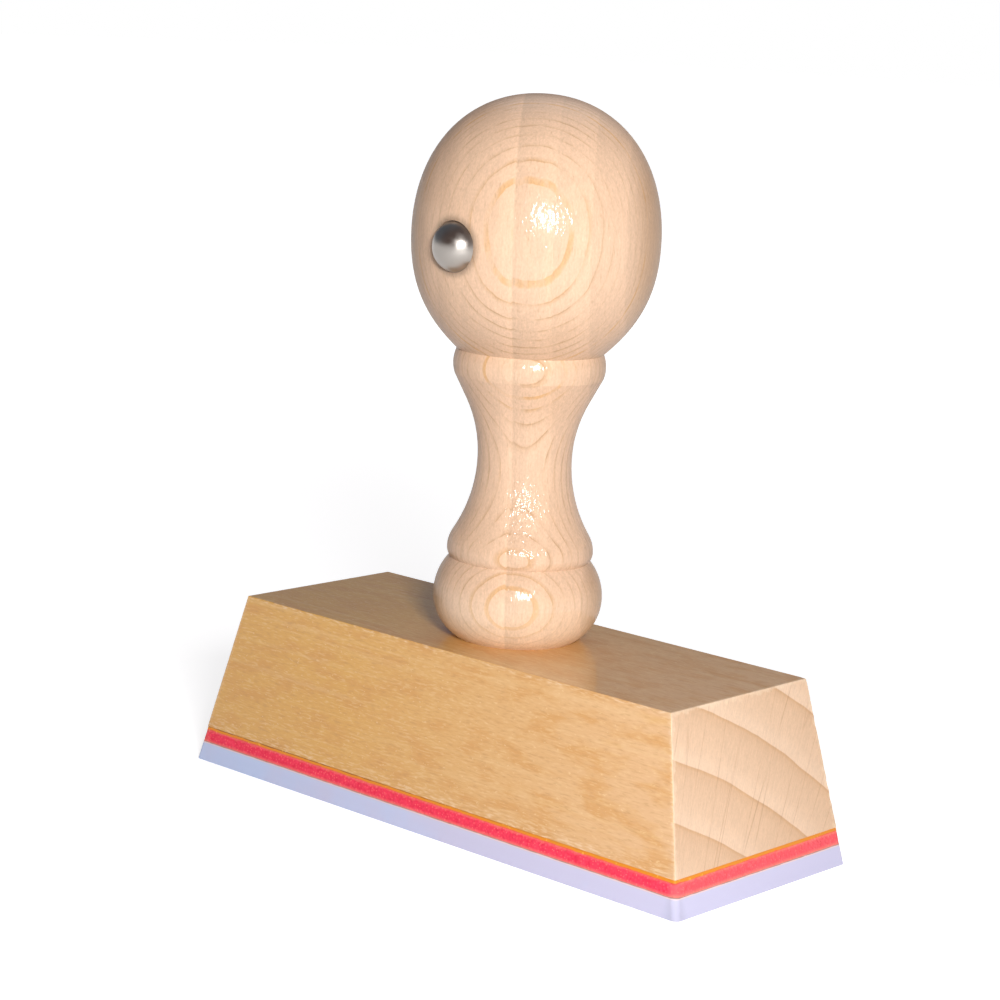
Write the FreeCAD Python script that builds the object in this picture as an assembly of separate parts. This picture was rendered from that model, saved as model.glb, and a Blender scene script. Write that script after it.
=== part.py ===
import FreeCAD, Part
import math
import os

# Wooden hand stamp: a turned ball handle screwed to a sloped beech block, which carries a rubber
# printing die on a foam cushion. Millimetres, +Z up. The origin is the middle of the printing
# face, +X runs along the die's long side, and -Y is the front, which the index pin marks.

# ---- Layers under the block, from the printing face upwards ----
RELIEF_DEPTH = 1.0          # raised printing lines, above the engraved floor
DIE_BACK = 1.55             # solid rubber behind the relief
LOWER_FILM = 0.25           # adhesive film between die and cushion
CUSHION_THICKNESS = 1.7     # foam cushion at rest
UPPER_FILM = 0.5            # adhesive film between cushion and block
CUT_CORNER = 0.3            # rounding of the corners as cut
WORN_DIE_CORNER = 0.9       # the die's front right corner, worn rounder
WORN_CUSHION_CORNER = 1.5   # the foam's front right corner, worn rounder still

# ---- Beech block, a truncated pyramid ----
BLOCK_LENGTH = 87.8         # along X, at the block's base
BLOCK_WIDTH = 34.3          # along Y, at the block's base
BLOCK_HEIGHT = 20.0
END_SLOPE = 13.0            # lean of the two end faces, degrees from vertical
SIDE_SLOPE = 8.3            # lean of the two long faces, degrees from vertical
EDGE_BREAK = 0.25           # sanded rounding of the block's upper edges and corners

# ---- Engraved form on the die: a border, a middle rule, and rows of a tick box and a rule ----
BORDER_WIDTH = 1.6
RULE_WIDTH = 0.9
SHOULDER_DRAFT = 22.0       # flare of each line towards the floor, degrees
ROW_COUNT = 4
TICK_BOX = 4.2              # outer side of a tick box
FIELD_MARGIN = 3.0          # bare floor between the border and the rows' ends
BOX_GAP = 2.0               # from a tick box to the rule beside it

# ---- Turned handle, radii from its axis and heights along it ----
SEAT_RADIUS = 8.35          # flat foot that stands on the block
BULB_RADIUS = 11.65         # foot bulb at its widest
BULB_WIDEST = 5.9           # height of the bulb's widest line above the seat
BULB_TOP = 5.2              # from the widest line up to the quirk
QUIRK_RADIUS = 9.65         # bottom of the groove between bulb and bead
BEAD_RADIUS = 10.05         # bead at the foot of the flare
BEAD_LIP = 1.2              # from the quirk up to the bead's widest line
BEAD_ROUNDING = 4.2         # radius that rolls the bead into the hollow
WAIST_RADIUS = 6.45         # narrowest part of the neck
HOLLOW_RADIUS = 19.8        # sweep of the hollow neck below the waist
FLARE_RADIUS = 17.5         # tighter sweep above the waist
FLARE_RISE = 8.0            # from the waist up to where the sweep turns into a straight flare
COLLAR_EDGE_RADIUS = 10.15  # crisp lower edge of the collar, where the flare ends
COLLAR_RADIUS = 10.4        # collar at its fullest
COLLAR_HEIGHT = 3.4
NECK_RADIUS = 10.0          # inside corner between collar and knob
KNOB_RADIUS = 16.85
KNOB_UNDERSIDE = 15.4       # from the inside corner up to the knob's widest line
UNDERSIDE_SWELL = 0.65      # how much further the underside's curve handles reach than an arc's
KNOB_CROWN = 19.1           # from the widest line up to the top
CROWN_FULLNESS = 0.597      # curve handle as a share of each half axis; 0.552 is an ellipse

# ---- Index pin, a dome-headed nail pressed into the front of the knob ----
PIN_HEAD_RADIUS = 3.39
PIN_HEAD_HEIGHT = 2.5
PIN_SHANK_RADIUS = 0.7
PIN_SHANK_LENGTH = 11.0
PIN_POINT = 2.0             # length of the taper at the tip
PIN_BELOW_WIDEST = 0.75     # pin axis, below the knob's widest line
PIN_BEARING = 1.5           # pin's way round from the front, degrees
PIN_CLEARANCE = 0.03

# ---- Wood screw, driven up through the block into the handle ----
SCREW_RADIUS = 2.0          # outside of the thread
SCREW_HEAD_RADIUS = 4.0
SCREW_LENGTH = 35.0
SCREW_POINT = 4.0           # length of the taper at the tip
SCREW_SUNK = 0.4            # head below the block's base
SCREW_CLEARANCE = 0.25      # round the shank inside the block
THREAD_CLEARANCE = 0.05     # round the thread inside the handle
HEAD_CLEARANCE = 0.05       # under the countersunk head
PILOT_SPARE = 1.5           # hole left beyond the screw's tip
DRIVE_WIDTH = 0.9           # arms of the cross recess
DRIVE_SPAN = 4.2
DRIVE_DEPTH = 1.6

# ---- Heights that follow from the values above ----
FLOOR_Z = RELIEF_DEPTH
DIE_TOP_Z = FLOOR_Z + DIE_BACK
CUSHION_Z = DIE_TOP_Z + LOWER_FILM
CUSHION_TOP_Z = CUSHION_Z + CUSHION_THICKNESS
BLOCK_Z = CUSHION_TOP_Z + UPPER_FILM
SEAT_Z = BLOCK_Z + BLOCK_HEIGHT

UP = FreeCAD.Vector(0, 0, 1)
TOLERANCE = 0.001           # two heights closer than this are the same


def half_length(z):
    """Half of the stamp's length at height z, on the sloping end faces."""
    return BLOCK_LENGTH / 2 + (BLOCK_Z - z) * math.tan(math.radians(END_SLOPE))


def half_width(z):
    """Half of the stamp's width at height z, on the sloping long faces."""
    return BLOCK_WIDTH / 2 + (BLOCK_Z - z) * math.tan(math.radians(SIDE_SLOPE))


def rectangle(x, y, half_x, half_y, z):
    """A closed wire round a rectangle centred at x, y."""
    corners = []
    for side_x, side_y in ((-1, -1), (1, -1), (1, 1), (-1, 1)):
        corners.append(FreeCAD.Vector(x + side_x * half_x, y + side_y * half_y, z))
    return Part.makePolygon(corners + corners[:1])


def tapered(low_wire, high_wire):
    """A solid with flat faces between two rectangles."""
    return Part.makeLoft([low_wire, high_wire], True, True)


def flush_layer(z_low, z_high):
    """The part of the stamp's sloping pyramid between two heights."""
    return tapered(rectangle(0, 0, half_length(z_low), half_width(z_low), z_low),
                   rectangle(0, 0, half_length(z_high), half_width(z_high), z_high))


def rising_edges(solid):
    """The corner edges of a pyramid, which run from its lower face to its upper face."""
    box = solid.BoundBox
    rise = 0.5 * (box.ZMax - box.ZMin)
    return [edge for edge in solid.Edges if edge.BoundBox.ZLength > rise]


def at_front_right(edge):
    """Whether a corner edge stands at +X and -Y."""
    middle = edge.BoundBox.Center
    return middle.x > 0 and middle.y < 0


def rounded_layer(z_low, z_high, worn_corner):
    """A slice of the pyramid under the block, with its corners rounded."""
    stack = flush_layer(0, BLOCK_Z)
    stack = stack.makeFillet(
        CUT_CORNER, [edge for edge in rising_edges(stack) if not at_front_right(edge)])
    stack = stack.makeFillet(
        worn_corner, [edge for edge in rising_edges(stack) if at_front_right(edge)])
    slab = Part.makeBox(2 * half_length(0), 2 * half_width(0), z_high - z_low,
                        FreeCAD.Vector(-half_length(0), -half_width(0), z_low))
    return stack.common(slab)


def upper_edges(solid):
    """The edges round the top face of a layer."""
    top = solid.BoundBox.ZMax
    return [edge for edge in solid.Edges if edge.BoundBox.ZMin > top - TOLERANCE]


def disc_hole(radius, z_low, z_high):
    """A round cutter on the stamp's axis."""
    return Part.makeCylinder(radius, z_high - z_low, FreeCAD.Vector(0, 0, z_low), UP)


def profile_point(radius, height):
    """A point of a turned profile, in the plane of X and Z."""
    return FreeCAD.Vector(radius, 0, height)


def profile_line(start, end):
    return Part.LineSegment(start, end).toShape()


def profile_arc(centre, radius, start_angle, end_angle):
    """An arc of a turned profile; angles in radians from the outward direction."""
    points = []
    for angle in (start_angle, (start_angle + end_angle) / 2, end_angle):
        points.append(centre + profile_point(radius * math.cos(angle), radius * math.sin(angle)))
    return Part.Arc(*points).toShape()


def arc_from_widest(widest, end):
    """An arc that leaves its widest point along the axis and ends at another point."""
    inward = widest.x - end.x
    along = end.z - widest.z
    radius = (inward ** 2 + along ** 2) / (2 * inward)
    centre = widest - profile_point(radius, 0)
    return profile_arc(centre, radius, 0, math.atan2(along, radius - inward))


def turned(edges, axis_start):
    """The solid that a closed profile sweeps round the vertical axis."""
    return Part.Face(Part.Wire(edges)).revolve(axis_start, UP, 360)


class HandleLines:
    """Heights above the block of the lines that the handle's profile turns on."""
    bulb = BULB_WIDEST
    quirk = bulb + BULB_TOP
    bead = quirk + BEAD_LIP
    # The bead's rounding and the hollow are two circles that touch outside each other.
    centres_apart = HOLLOW_RADIUS + BEAD_ROUNDING
    centres_across = WAIST_RADIUS + HOLLOW_RADIUS - BEAD_RADIUS + BEAD_ROUNDING
    waist = bead + math.sqrt(centres_apart ** 2 - centres_across ** 2)
    # Above the waist a tighter circle turns into a straight flare, which meets the collar.
    flare_lean = math.asin(FLARE_RISE / FLARE_RADIUS)
    flare_start_radius = WAIST_RADIUS + FLARE_RADIUS * (1 - math.cos(flare_lean))
    flare_start = waist + FLARE_RISE
    collar = flare_start + (COLLAR_EDGE_RADIUS - flare_start_radius) / math.tan(flare_lean)
    neck = collar + COLLAR_HEIGHT
    knob = neck + KNOB_UNDERSIDE
    top = knob + KNOB_CROWN


def foot_edges():
    """Foot bulb and the lip of the bead above it."""
    seat = profile_point(SEAT_RADIUS, 0)
    bulb = profile_point(BULB_RADIUS, HandleLines.bulb)
    quirk = profile_point(QUIRK_RADIUS, HandleLines.quirk)
    bead = profile_point(BEAD_RADIUS, HandleLines.bead)
    return [profile_line(profile_point(0, 0), seat),
            arc_from_widest(bulb, seat),
            arc_from_widest(bulb, quirk),
            arc_from_widest(bead, quirk)]


def neck_edges():
    """The bead's rounding, the hollow that it rolls into, the flare and the collar."""
    bead_centre = profile_point(BEAD_RADIUS - BEAD_ROUNDING, HandleLines.bead)
    hollow_centre = profile_point(WAIST_RADIUS + HOLLOW_RADIUS, HandleLines.waist)
    towards_hollow = hollow_centre - bead_centre
    touch = math.atan2(towards_hollow.z, towards_hollow.x)
    flare_centre = profile_point(WAIST_RADIUS + FLARE_RADIUS, HandleLines.waist)
    flare_start = profile_point(HandleLines.flare_start_radius, HandleLines.flare_start)
    collar_low = profile_point(COLLAR_EDGE_RADIUS, HandleLines.collar)
    collar_full = profile_point(COLLAR_RADIUS, HandleLines.collar + COLLAR_HEIGHT / 2)
    collar_high = profile_point(NECK_RADIUS, HandleLines.neck)
    return [profile_arc(bead_centre, BEAD_ROUNDING, 0, touch),
            profile_arc(hollow_centre, HOLLOW_RADIUS, math.pi + touch, math.pi),
            profile_arc(flare_centre, FLARE_RADIUS, math.pi, math.pi - HandleLines.flare_lean),
            profile_line(flare_start, collar_low),
            Part.Arc(collar_low, collar_full, collar_high).toShape()]


def knob_edges():
    """The underside and the crown, each as one full curve that leaves the widest line."""
    neck = profile_point(NECK_RADIUS, HandleLines.neck)
    widest = profile_point(KNOB_RADIUS, HandleLines.knob)
    top = profile_point(0, HandleLines.top)
    # The arc that would join the same two points gives the underside's directions.
    inward = KNOB_RADIUS - NECK_RADIUS
    arc_radius = (inward ** 2 + KNOB_UNDERSIDE ** 2) / (2 * inward)
    turn = math.asin(KNOB_UNDERSIDE / arc_radius)
    reach = 4 / 3 * math.tan(turn / 4) * arc_radius + UNDERSIDE_SWELL
    underside = Part.BezierCurve()
    underside.setPoles([widest,
                        widest - profile_point(0, reach),
                        neck + profile_point(reach * math.sin(turn), reach * math.cos(turn)),
                        neck])
    crown = Part.BezierCurve()
    crown.setPoles([widest,
                    widest + profile_point(0, CROWN_FULLNESS * KNOB_CROWN),
                    top + profile_point(CROWN_FULLNESS * KNOB_RADIUS, 0),
                    top])
    return [underside.toShape(), crown.toShape()]


def pin_seat():
    """Distance from the handle's axis to the flat spot under the pin's head."""
    return math.sqrt(KNOB_RADIUS ** 2 - PIN_HEAD_RADIUS ** 2)


def placed_pin(shape):
    """Turns a shape that stands on its head's seat to face the front of the knob."""
    shape.rotate(FreeCAD.Vector(0, 0, 0), FreeCAD.Vector(1, 0, 0), 90)
    shape.translate(FreeCAD.Vector(0, -pin_seat(), SEAT_Z + HandleLines.knob - PIN_BELOW_WIDEST))
    shape.rotate(FreeCAD.Vector(0, 0, 0), UP, PIN_BEARING)
    return shape


def make_handle():
    """Turned beech handle with a pilot hole in its foot and a spotted hole for the pin."""
    axis_line = profile_line(profile_point(0, HandleLines.top), profile_point(0, 0))
    edges = foot_edges() + neck_edges() + knob_edges() + [axis_line]
    handle = turned(edges, FreeCAD.Vector(0, 0, 0))
    handle.translate(FreeCAD.Vector(0, 0, SEAT_Z))
    tip_z = BLOCK_Z + SCREW_SUNK + SCREW_LENGTH
    pilot = disc_hole(SCREW_RADIUS + THREAD_CLEARANCE, SEAT_Z, tip_z + PILOT_SPARE)
    spot = Part.makeCylinder(PIN_HEAD_RADIUS + PIN_CLEARANCE, PIN_HEAD_HEIGHT)
    bore = Part.makeCylinder(PIN_SHANK_RADIUS + PIN_CLEARANCE, PIN_SHANK_LENGTH,
                             FreeCAD.Vector(0, 0, 0), -UP)
    return handle.cut([pilot, placed_pin(spot), placed_pin(bore)])


def make_index_pin():
    """Dome-headed nail: a spherical cap on a pointed shank."""
    dome = (PIN_HEAD_RADIUS ** 2 + PIN_HEAD_HEIGHT ** 2) / (2 * PIN_HEAD_HEIGHT)
    centre = profile_point(0, PIN_HEAD_HEIGHT - dome)
    rim_angle = math.asin((dome - PIN_HEAD_HEIGHT) / dome)
    rim = profile_point(PIN_HEAD_RADIUS, 0)
    neck = profile_point(PIN_SHANK_RADIUS, 0)
    taper = profile_point(PIN_SHANK_RADIUS, PIN_POINT - PIN_SHANK_LENGTH)
    tip = profile_point(0, -PIN_SHANK_LENGTH)
    crown = profile_point(0, PIN_HEAD_HEIGHT)
    edges = [profile_arc(centre, dome, math.pi / 2, rim_angle),
             profile_line(rim, neck),
             profile_line(neck, taper),
             profile_line(taper, tip),
             profile_line(tip, crown)]
    return placed_pin(turned(edges, FreeCAD.Vector(0, 0, 0)))


def make_mount_block():
    """Sloped beech block with a countersunk hole for the screw."""
    block = flush_layer(BLOCK_Z, SEAT_Z)
    block = block.makeFillet(EDGE_BREAK, rising_edges(block) + upper_edges(block))
    mouth = SCREW_HEAD_RADIUS + HEAD_CLEARANCE
    hole = SCREW_RADIUS + SCREW_CLEARANCE
    cone = Part.makeCone(mouth, hole, mouth - hole,
                         FreeCAD.Vector(0, 0, BLOCK_Z + SCREW_SUNK), UP)
    return block.cut([disc_hole(mouth, BLOCK_Z, BLOCK_Z + SCREW_SUNK), cone,
                      disc_hole(hole, BLOCK_Z, SEAT_Z)])


def make_handle_screw():
    """Countersunk wood screw with a cross recess, drawn at the outside of its thread."""
    base = BLOCK_Z + SCREW_SUNK
    head_depth = SCREW_HEAD_RADIUS - SCREW_RADIUS
    tip = base + SCREW_LENGTH
    edges = [profile_line(profile_point(0, base), profile_point(SCREW_HEAD_RADIUS, base)),
             profile_line(profile_point(SCREW_HEAD_RADIUS, base),
                          profile_point(SCREW_RADIUS, base + head_depth)),
             profile_line(profile_point(SCREW_RADIUS, base + head_depth),
                          profile_point(SCREW_RADIUS, tip - SCREW_POINT)),
             profile_line(profile_point(SCREW_RADIUS, tip - SCREW_POINT), profile_point(0, tip)),
             profile_line(profile_point(0, tip), profile_point(0, base))]
    screw = turned(edges, FreeCAD.Vector(0, 0, 0))
    arms = []
    for half_x, half_y in ((DRIVE_SPAN / 2, DRIVE_WIDTH / 2), (DRIVE_WIDTH / 2, DRIVE_SPAN / 2)):
        # Each arm narrows to half its span at the bottom of the recess.
        arms.append(tapered(rectangle(0, 0, half_x, half_y, base),
                            rectangle(0, 0, half_x / 2, half_y / 2, base + DRIVE_DEPTH)))
    return screw.cut(arms)


def relief_bar(x, y, length, width):
    """One raised printing line, square at the printing face and flared towards the floor."""
    flare = RELIEF_DEPTH * math.tan(math.radians(SHOULDER_DRAFT))
    return tapered(rectangle(x, y, length / 2, width / 2, 0),
                   rectangle(x, y, length / 2 + flare, width / 2 + flare, FLOOR_Z))


def tick_box(x, y):
    """Four bars round a bare square."""
    reach = (TICK_BOX - RULE_WIDTH) / 2
    return [relief_bar(x, y - reach, TICK_BOX, RULE_WIDTH),
            relief_bar(x, y + reach, TICK_BOX, RULE_WIDTH),
            relief_bar(x - reach, y, RULE_WIDTH, TICK_BOX),
            relief_bar(x + reach, y, RULE_WIDTH, TICK_BOX)]


def form_bars():
    """The middle rule, and in each half the rows of a tick box with a rule beside it."""
    field_x = half_length(0) - BORDER_WIDTH
    field_y = half_width(0) - BORDER_WIDTH
    bars = [relief_bar(0, 0, RULE_WIDTH, 2 * field_y)]
    pitch = 2 * field_y / ROW_COUNT
    rule_length = field_x - 2 * FIELD_MARGIN - TICK_BOX - BOX_GAP
    for row in range(ROW_COUNT):
        y = (row + 0.5) * pitch - field_y
        for left_end in (-field_x, 0):
            box_x = left_end + FIELD_MARGIN + TICK_BOX / 2
            rule_x = left_end + field_x - FIELD_MARGIN - rule_length / 2
            rule_y = y - (TICK_BOX - RULE_WIDTH) / 2
            bars += tick_box(box_x, y)
            bars.append(relief_bar(rule_x, rule_y, rule_length, RULE_WIDTH))
    return bars


def make_rubber_die():
    """Engraved rubber die: a border that is flush with the trimmed edge, and the form inside."""
    die = rounded_layer(0, DIE_TOP_Z, WORN_DIE_CORNER)
    field_x = half_length(0) - BORDER_WIDTH
    field_y = half_width(0) - BORDER_WIDTH
    flare = RELIEF_DEPTH * math.tan(math.radians(SHOULDER_DRAFT))
    field = tapered(rectangle(0, 0, field_x, field_y, 0),
                    rectangle(0, 0, field_x - flare, field_y - flare, FLOOR_Z))
    return die.cut(field.cut(form_bars())).removeSplitter()


def main():
    os.makedirs("parts", exist_ok=True)
    nodes = {
        "handle": make_handle(),
        "index_pin": make_index_pin(),
        "mount_block": make_mount_block(),
        "handle_screw": make_handle_screw(),
        "upper_adhesive": rounded_layer(CUSHION_TOP_Z, BLOCK_Z, CUT_CORNER),
        "foam_cushion": rounded_layer(CUSHION_Z, CUSHION_TOP_Z, WORN_CUSHION_CORNER),
        "lower_adhesive": rounded_layer(DIE_TOP_Z, CUSHION_Z, WORN_DIE_CORNER),
        "rubber_die": make_rubber_die(),
    }
    for name, shape in nodes.items():
        box = shape.optimalBoundingBox(False)
        print(f"{name}: {len(shape.Solids)} solid, valid {shape.isValid()}, {shape.Volume:.1f} mm3, "
              f"x {box.XMin:.2f}..{box.XMax:.2f}, y {box.YMin:.2f}..{box.YMax:.2f}, "
              f"z {box.ZMin:.2f}..{box.ZMax:.2f}")
        shape.exportStep(f"parts/{name}.step")


main()
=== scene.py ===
import math

import bmesh
import bpy
from bpy.props import FloatProperty, FloatVectorProperty, PointerProperty
from mathutils import Matrix, Vector, noise


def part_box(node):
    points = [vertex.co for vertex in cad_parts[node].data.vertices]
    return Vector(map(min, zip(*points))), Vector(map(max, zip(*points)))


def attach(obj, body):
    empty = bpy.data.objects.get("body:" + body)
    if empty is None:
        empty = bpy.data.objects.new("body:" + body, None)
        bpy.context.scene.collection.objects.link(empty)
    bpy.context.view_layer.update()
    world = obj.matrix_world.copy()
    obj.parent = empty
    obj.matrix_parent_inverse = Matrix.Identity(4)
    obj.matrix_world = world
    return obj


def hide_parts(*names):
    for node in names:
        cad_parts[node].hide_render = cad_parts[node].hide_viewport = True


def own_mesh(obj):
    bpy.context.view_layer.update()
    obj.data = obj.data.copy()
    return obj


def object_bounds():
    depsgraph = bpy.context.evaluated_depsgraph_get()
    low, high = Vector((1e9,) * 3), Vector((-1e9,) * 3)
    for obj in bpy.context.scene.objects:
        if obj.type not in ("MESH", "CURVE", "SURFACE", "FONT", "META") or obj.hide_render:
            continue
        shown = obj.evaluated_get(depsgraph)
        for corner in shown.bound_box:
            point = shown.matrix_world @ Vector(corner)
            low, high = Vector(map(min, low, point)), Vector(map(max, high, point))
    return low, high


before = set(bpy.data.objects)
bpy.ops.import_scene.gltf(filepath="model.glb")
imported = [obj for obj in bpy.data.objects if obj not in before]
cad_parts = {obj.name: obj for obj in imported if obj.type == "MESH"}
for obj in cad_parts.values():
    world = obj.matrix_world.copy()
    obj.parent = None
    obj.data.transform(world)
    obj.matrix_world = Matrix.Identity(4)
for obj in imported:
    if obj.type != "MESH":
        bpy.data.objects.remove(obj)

bl_info = {
    "name": "Wooden Hand Stamp",
    "version": (1, 0, 0),
    "blender": (4, 5, 0),
    "location": "3D View > Sidebar > Stamp",
    "description": "Finishes a ball-handled stamp with beech, foam, rubber and a bright index pin",
    "category": "Object",
}

MM = 0.001                  # metres in a millimetre; the frame is in metres
BAND_REACH = 17.0           # the bands are worked out this far from the handle's axis, mm
# Upright bands on the handle: where each starts, mm, and the tone before and after that line.
BANDS = ((-12.0, 0.7, 0.3), (-8.6, 0.7, 0.45), (-4.5, 0.6, 0.5), (-1.8, 1.0, 0.0),
         (3.4, 0.75, 0.35), (8.2, 0.85, 0.3), (12.6, 0.9, 0.35))
YEAR_START = 11.18          # puts the end of a year 16.1 mm from the axis, at the knob's middle
YEAR_REACH = 34.67          # from the first year to the outermost one, mm
FOOT_EYE = (-0.4, -11.3, 30.6)     # middle of the eye in the foot's figure, in the grain's axes, mm
CAMERA_AIM = (-7.67, 3.89, 42.4)   # the point that the camera looks at, mm
CAD_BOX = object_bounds()


def linear(hex_colour):
    """An sRGB hex colour as linear red, green, blue and alpha."""
    channels = []
    for start in (0, 2, 4):
        value = int(hex_colour[start:start + 2], 16) / 255
        channels.append(value / 12.92 if value <= 0.04045 else ((value + 0.055) / 1.055) ** 2.4)
    return (*channels, 1.0)


def colour(name, description, hex_colour):
    """A colour property with its default."""
    return FloatVectorProperty(name=name, description=description, subtype="COLOR", size=4,
                               min=0.0, max=1.0, default=linear(hex_colour))


def length(name, description, millimetres):
    """A length property with its default, stored in metres."""
    return FloatProperty(name=name, description=description, subtype="DISTANCE", unit="LENGTH",
                         default=millimetres * MM, precision=5)


# ---------------------------------------------------------------- settings

class StampBeech(bpy.types.PropertyGroup):
    """Colours and figure of the turned handle and the sawn block."""
    handle_pale: colour("Handle pale", "Early wood of the turned handle", "DAB89B")
    handle_late: colour("Handle late", "Late wood at the end of each year ring", "AE875F")
    handle_gold: colour("Handle gold", "Late wood of the two broad golden years", "CF9F68")
    handle_fleck: colour("Handle fleck", "Short ray ends on the handle", "A9805A")
    ring_width: length("Handle rings", "Width of a year ring in the handle", 1.05)
    ring_bearing: FloatProperty(name="Ring bearing", subtype="ANGLE", default=math.radians(38.0),
                                description="Way that the handle's outermost rings face")
    ring_lean: FloatProperty(name="Ring lean", default=0.075,
                             description="How much nearer the axis a ring is, for its rise")
    block_tan: colour("Block tan", "Planed long grain of the block", "D8A453")
    block_pale: colour("Block pale", "Long grain at the block's right-hand end", "DDB38A")
    block_brown: colour("Block brown", "Orange blotches in the long grain", "D0964C")
    block_shade: colour("Block shade", "Dark fibres in the long grain", "BC8A50")
    block_silk: colour("Block silk", "Bright ray flecks in the long grain", "E8C690")
    torn: colour("Torn fibres", "Splinters along the arrises", "F0DCC0")
    end_pale: colour("End pale", "Early wood on the sawn ends", "E3C5A9")
    end_late: colour("End late", "Late wood on the sawn ends", "CBA37E")
    end_ray: colour("End ray", "Rays that cross the rings on the sawn ends", "A67C5C")
    block_ring_width: length("Block rings", "Width of a year ring in the block", 7.4)
    arris_wear: length("Arris wear", "Rounding of the block's sawn edges", 0.2)


class StampLayers(bpy.types.PropertyGroup):
    """Colours of the cushion, its films and the die."""
    foam: colour("Foam", "Cushion foam", "FF4C66")
    foam_deep: colour("Foam cells", "Open cells in the cushion's cut face", "EC3050")
    foam_skin: colour("Foam skin", "Paler edges of the cushion", "FC9884")
    amber: colour("Amber film", "Adhesive film under the block", "E28A12")
    # Amber shade is painted shade along the film's upper edge, under the block.
    amber_dark: colour("Amber shade", "Painted shade on the upper edge of the film under the block", "94540A")
    amber_low: colour("Amber glow", "Foam seen through the foot of the film", "EE5A3C")
    buff: colour("Buff film", "Adhesive film over the die", "E6CDD0")
    amber_bead: colour("Amber beads", "Bright beads in the film under the block", "F0A93C")
    # Buff shade is painted shade along the film's upper edge, under the foam.
    buff_dark: colour("Buff shade", "Painted shade on the upper edge of the film over the die", "A98378")
    rubber: colour("Rubber", "Engraved die", "C2D0F0")
    # The bloom colour also carries the painted light towards the die's right-hand end.
    rubber_bloom: colour("Rubber bloom", "Dusty bloom on the die", "CBCAE4")
    nickel: colour("Nickel", "Index pin", "A9A39D")
    steel: colour("Steel", "Wood screw", "A8A9AC")
    cut_corner: length("Cut corner", "Radius of the cushion's corners", 0.3)
    worn_corner: length("Worn corner", "Radius of the cushion's corner at the front right", 1.5)


class StampStage(bpy.types.PropertyGroup):
    """Camera, lamps and floor."""
    azimuth: FloatProperty(name="Azimuth", subtype="ANGLE", default=math.radians(42.16),
                           description="Camera's bearing round the stamp, from the front")
    elevation: FloatProperty(name="Elevation", subtype="ANGLE", default=math.radians(10.71),
                             description="Camera's height above the horizon")
    roll: FloatProperty(name="Roll", subtype="ANGLE", default=math.radians(2.92),
                        description="Camera's turn about its own line of sight")
    distance: length("Distance", "From the camera to the point it looks at", 368.7)
    focal_length: FloatProperty(name="Focal length", default=94.68, subtype="DISTANCE_CAMERA",
                                description="Focal length on a 36 mm sensor")
    lamp_power: FloatProperty(name="Lamp", default=1.57, subtype="POWER",
                              description="Small soft lamp beside the camera")
    fill_power: FloatProperty(name="Fill", default=1.15, subtype="POWER",
                              description="Large soft lamp behind the stamp")
    sky: FloatProperty(name="Sky", default=0.2, description="Light from the studio's far side")
    gloom: FloatProperty(name="Gloom", default=0.11, description="Light from the camera's side")
    sky_tint: colour("Sky tint", "Colour of the studio's far side", "D8E6FA")
    gloom_tint: colour("Gloom tint", "Colour of the camera's side", "FFC9B7")


# ---------------------------------------------------------------- shapes

def dress(node_name, material):
    """Gives a CAD node its material."""
    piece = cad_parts[node_name]
    piece.data.materials.clear()
    piece.data.materials.append(material)


def new_piece(name, mesh_maker, materials, body, node_name):
    """Makes a piece from a bmesh, and has it ride on a body in place of a CAD node."""
    shape = bmesh.new()
    mesh_maker(shape)
    mesh = bpy.data.meshes.new(name)
    shape.to_mesh(mesh)
    shape.free()
    # Normals carried over from a CAD mesh would take the place of the smoothed ones.
    if mesh.has_custom_normals:
        mesh.attributes.remove(mesh.attributes["custom_normal"])
    for material in materials:
        mesh.materials.append(material)
    piece = bpy.data.objects.new(name, mesh)
    bpy.context.scene.collection.objects.link(piece)
    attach(piece, body)
    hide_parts(node_name)
    return piece


def flank_growth():
    """Growth of the stamp's half length and half width for each metre downwards."""
    block_low, block_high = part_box("mount_block")
    die_low, die_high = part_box("rubber_die")
    drop = block_low.z - die_low.z
    return (die_high.x - block_high.x) / drop, (die_high.y - block_high.y) / drop


def shade_smooth(shape):
    """Smooths every face, and keeps the edges that turn through more than 50 degrees."""
    for face in shape.faces:
        face.smooth = True
    for edge in shape.edges:
        edge.smooth = edge.calc_face_angle(0.0) < math.radians(50)


def soft_box(shape, low, high, cuts, settle):
    """A finely divided block between two heights, tapered as the stamp's flanks are.

    settle(place, half) says where a point of the plain box goes; the place is measured from
    the box's middle, and half is the box's half size.
    """
    grow_x, grow_y = flank_growth()
    crowding = 1.7
    bmesh.ops.create_cube(shape, size=2.0)
    bmesh.ops.subdivide_edges(shape, edges=shape.edges[:], cuts=cuts, use_grid_fill=True)
    half = Vector((high.x, high.y, (high.z - low.z) / 2))
    middle = (high.z + low.z) / 2
    for vert in shape.verts:
        # Grid lines crowd towards the arrises, where the rounding needs them.
        place = Vector(math.copysign(1 - (1 - abs(t)) ** crowding, t) for t in vert.co)
        place = settle(Vector(p * h for p, h in zip(place, half)), half)
        above_foot = place.z + half.z
        place.x *= 1 - grow_x * above_foot / half.x
        place.y *= 1 - grow_y * above_foot / half.y
        vert.co = (place.x, place.y, middle + place.z)
    shade_smooth(shape)


def rub_round(place, half, radius, top):
    """Moves a point of a plain box onto its rounded upright edges, and its top edges too.

    The second value is the step to the point from the middle of its rounding.
    """
    inner = Vector((max(min(place.x, half.x - radius), radius - half.x),
                    max(min(place.y, half.y - radius), radius - half.y),
                    min(place.z, half.z - radius) if top else place.z))
    outward = place - inner
    reach = max(abs(step) for step in outward)
    return inner + outward.normalized() * reach, outward


# ---------------------------------------------------------------- nodes

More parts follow.
